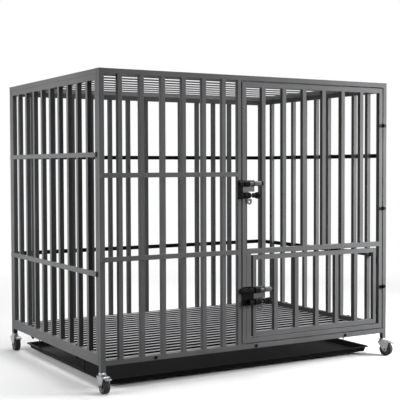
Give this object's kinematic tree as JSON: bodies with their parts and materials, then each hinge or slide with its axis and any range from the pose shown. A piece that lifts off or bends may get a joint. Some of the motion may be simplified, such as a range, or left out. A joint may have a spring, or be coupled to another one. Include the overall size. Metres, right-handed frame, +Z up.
{
  "type": "dog cage",
  "caption": "Welded steel bar cage on braked swivel casters, with a hinged front door, a smaller door inside it, slide bolt latches and a slide-out tray.",
  "frame": {"origin": "on the floor under the middle of the whole object's box, with both doors shut and the tray in", "axes": "+X to the right along the front, +Y from the front to the back, +Z up"},
  "size_m": [1.2488, 0.924, 1.062],
  "materials": {
    "frame_paint": "dark grey powder coat with a soft sheen",
    "door_paint": "dark grey powder coat with a soft sheen",
    "black_metal": "black paint, semi-gloss",
    "zinc": "bright zinc plate",
    "bright_steel": "turned steel",
    "wheel_rubber": "matt black rubber",
    "knob_plastic": "black plastic, low sheen",
    "tray_plastic": "black plastic, low sheen"
  },
  "bodies": {
    "cage": {"front_panel": "frame_paint", "back_panel": "frame_paint", "left_panel": "frame_paint", "right_panel": "frame_paint", "top_panel": "frame_paint", "floor_grate": "frame_paint", "bolt_front_1": "black_metal", "bolt_front_2": "black_metal", "bolt_front_3": "black_metal", "bolt_back_1": "black_metal", "bolt_back_2": "black_metal", "bolt_back_3": "black_metal", "bolt_left_front": "black_metal", "bolt_left_rear": "black_metal", "bolt_right_front": "black_metal", "bolt_right_rear": "black_metal", "bolt_top_left": "black_metal", "bolt_top_right": "black_metal", "tray_hanger_left": "black_metal", "tray_hanger_right": "black_metal", "upper_keeper": "black_metal", "hinge_post_leaf_low": "black_metal", "hinge_post_leaf_middle": "black_metal", "hinge_post_leaf_high": "black_metal", "caster_stem_front_left": "zinc", "caster_stem_front_right": "zinc", "caster_stem_rear_left": "zinc", "caster_stem_rear_right": "zinc"},
    "big_door": {"big_door": "door_paint", "hinge_door_leaf_low": "black_metal", "hinge_door_leaf_middle": "black_metal", "hinge_door_leaf_high": "black_metal", "lower_keeper": "black_metal", "upper_latch_body": "zinc"},
    "small_door": {"small_door": "door_paint", "lower_latch_body": "zinc"},
    "upper_bolt": {"upper_bolt": "bright_steel"},
    "upper_plunger": {"upper_plunger_pin": "bright_steel", "upper_plunger_knob": "knob_plastic"},
    "lower_bolt": {"lower_bolt": "bright_steel"},
    "lower_plunger": {"lower_plunger_pin": "bright_steel", "lower_plunger_knob": "knob_plastic"},
    "tray": {"tray": "tray_plastic"},
    "caster_front_left": {"caster_fork_front_left": "zinc", "caster_axle_front_left": "bright_steel"},
    "wheel_front_left": {"caster_wheel_front_left": "wheel_rubber"},
    "pedal_front_left": {"brake_pedal_front_left": "zinc"},
    "caster_front_right": {"caster_fork_front_right": "zinc", "caster_axle_front_right": "bright_steel"},
    "wheel_front_right": {"caster_wheel_front_right": "wheel_rubber"},
    "pedal_front_right": {"brake_pedal_front_right": "zinc"},
    "caster_rear_left": {"caster_fork_rear_left": "zinc", "caster_axle_rear_left": "bright_steel"},
    "wheel_rear_left": {"caster_wheel_rear_left": "wheel_rubber"},
    "pedal_rear_left": {"brake_pedal_rear_left": "zinc"},
    "caster_rear_right": {"caster_fork_rear_right": "zinc", "caster_axle_rear_right": "bright_steel"},
    "wheel_rear_right": {"caster_wheel_rear_right": "wheel_rubber"},
    "pedal_rear_right": {"brake_pedal_rear_right": "zinc"}
  },
  "joints": [
    {"name": "big_door_hinge", "type": "hinge", "parent": "cage", "child": "big_door", "pos_m": [0.5846, -0.4224, 0.109], "axis": [0, 0, 1], "range_deg": [0, 160]},
    {"name": "small_door_hinge", "type": "hinge", "parent": "big_door", "child": "small_door", "pos_m": [0.5591, -0.4135, 0.131], "axis": [0, 0, 1], "range_deg": [0, 90]},
    {"name": "upper_bolt_slide", "type": "slide", "parent": "big_door", "child": "upper_bolt", "axis": [-1, 0, 0], "range_m": [0, 0.019]},
    {"name": "upper_plunger_slide", "type": "slide", "parent": "big_door", "child": "upper_plunger", "axis": [-1, 0, 0], "range_m": [0, 0.011]},
    {"name": "lower_bolt_slide", "type": "slide", "parent": "small_door", "child": "lower_bolt", "axis": [-1, 0, 0], "range_m": [0, 0.019]},
    {"name": "lower_plunger_slide", "type": "slide", "parent": "small_door", "child": "lower_plunger", "axis": [-1, 0, 0], "range_m": [0, 0.011]},
    {"name": "tray_slide", "type": "slide", "parent": "cage", "child": "tray", "axis": [0, -1, 0], "range_m": [0, 0.55]},
    {"name": "caster_swivel_front_left", "type": "hinge", "parent": "cage", "child": "caster_front_left", "pos_m": [-0.60715, -0.408, 0], "axis": [0, 0, 1], "continuous": true},
    {"name": "wheel_spin_front_left", "type": "hinge", "parent": "caster_front_left", "child": "wheel_front_left", "pos_m": [-0.60715, -0.423, 0.025], "axis": [1, 0, 0], "continuous": true},
    {"name": "brake_lever_front_left", "type": "hinge", "parent": "caster_front_left", "child": "pedal_front_left", "pos_m": [-0.60715, -0.434, 0.053], "axis": [1, 0, 0], "range_deg": [0, 15]},
    {"name": "caster_swivel_front_right", "type": "hinge", "parent": "cage", "child": "caster_front_right", "pos_m": [0.59485, -0.408, 0], "axis": [0, 0, 1], "continuous": true},
    {"name": "wheel_spin_front_right", "type": "hinge", "parent": "caster_front_right", "child": "wheel_front_right", "pos_m": [0.60047, -0.42191, 0.025], "axis": [0.9272, 0.3746, 0], "continuous": true},
    {"name": "brake_lever_front_right", "type": "hinge", "parent": "caster_front_right", "child": "pedal_front_right", "pos_m": [0.60459, -0.43211, 0.053], "axis": [0.9272, 0.3746, 0], "range_deg": [0, 15]},
    {"name": "caster_swivel_rear_left", "type": "hinge", "parent": "cage", "child": "caster_rear_left", "pos_m": [-0.60715, 0.446, 0], "axis": [0, 0, 1], "continuous": true},
    {"name": "wheel_spin_rear_left", "type": "hinge", "parent": "caster_rear_left", "child": "wheel_rear_left", "pos_m": [-0.60715, 0.431, 0.025], "axis": [1, 0, 0], "continuous": true},
    {"name": "brake_lever_rear_left", "type": "hinge", "parent": "caster_rear_left", "child": "pedal_rear_left", "pos_m": [-0.60715, 0.42, 0.053], "axis": [1, 0, 0], "range_deg": [0, 15]},
    {"name": "caster_swivel_rear_right", "type": "hinge", "parent": "cage", "child": "caster_rear_right", "pos_m": [0.59485, 0.446, 0], "axis": [0, 0, 1], "continuous": true},
    {"name": "wheel_spin_rear_right", "type": "hinge", "parent": "caster_rear_right", "child": "wheel_rear_right", "pos_m": [0.59485, 0.431, 0.025], "axis": [1, 0, 0], "continuous": true},
    {"name": "brake_lever_rear_right", "type": "hinge", "parent": "caster_rear_right", "child": "pedal_rear_right", "pos_m": [0.59485, 0.42, 0.053], "axis": [1, 0, 0], "range_deg": [0, 15]}
  ]
}
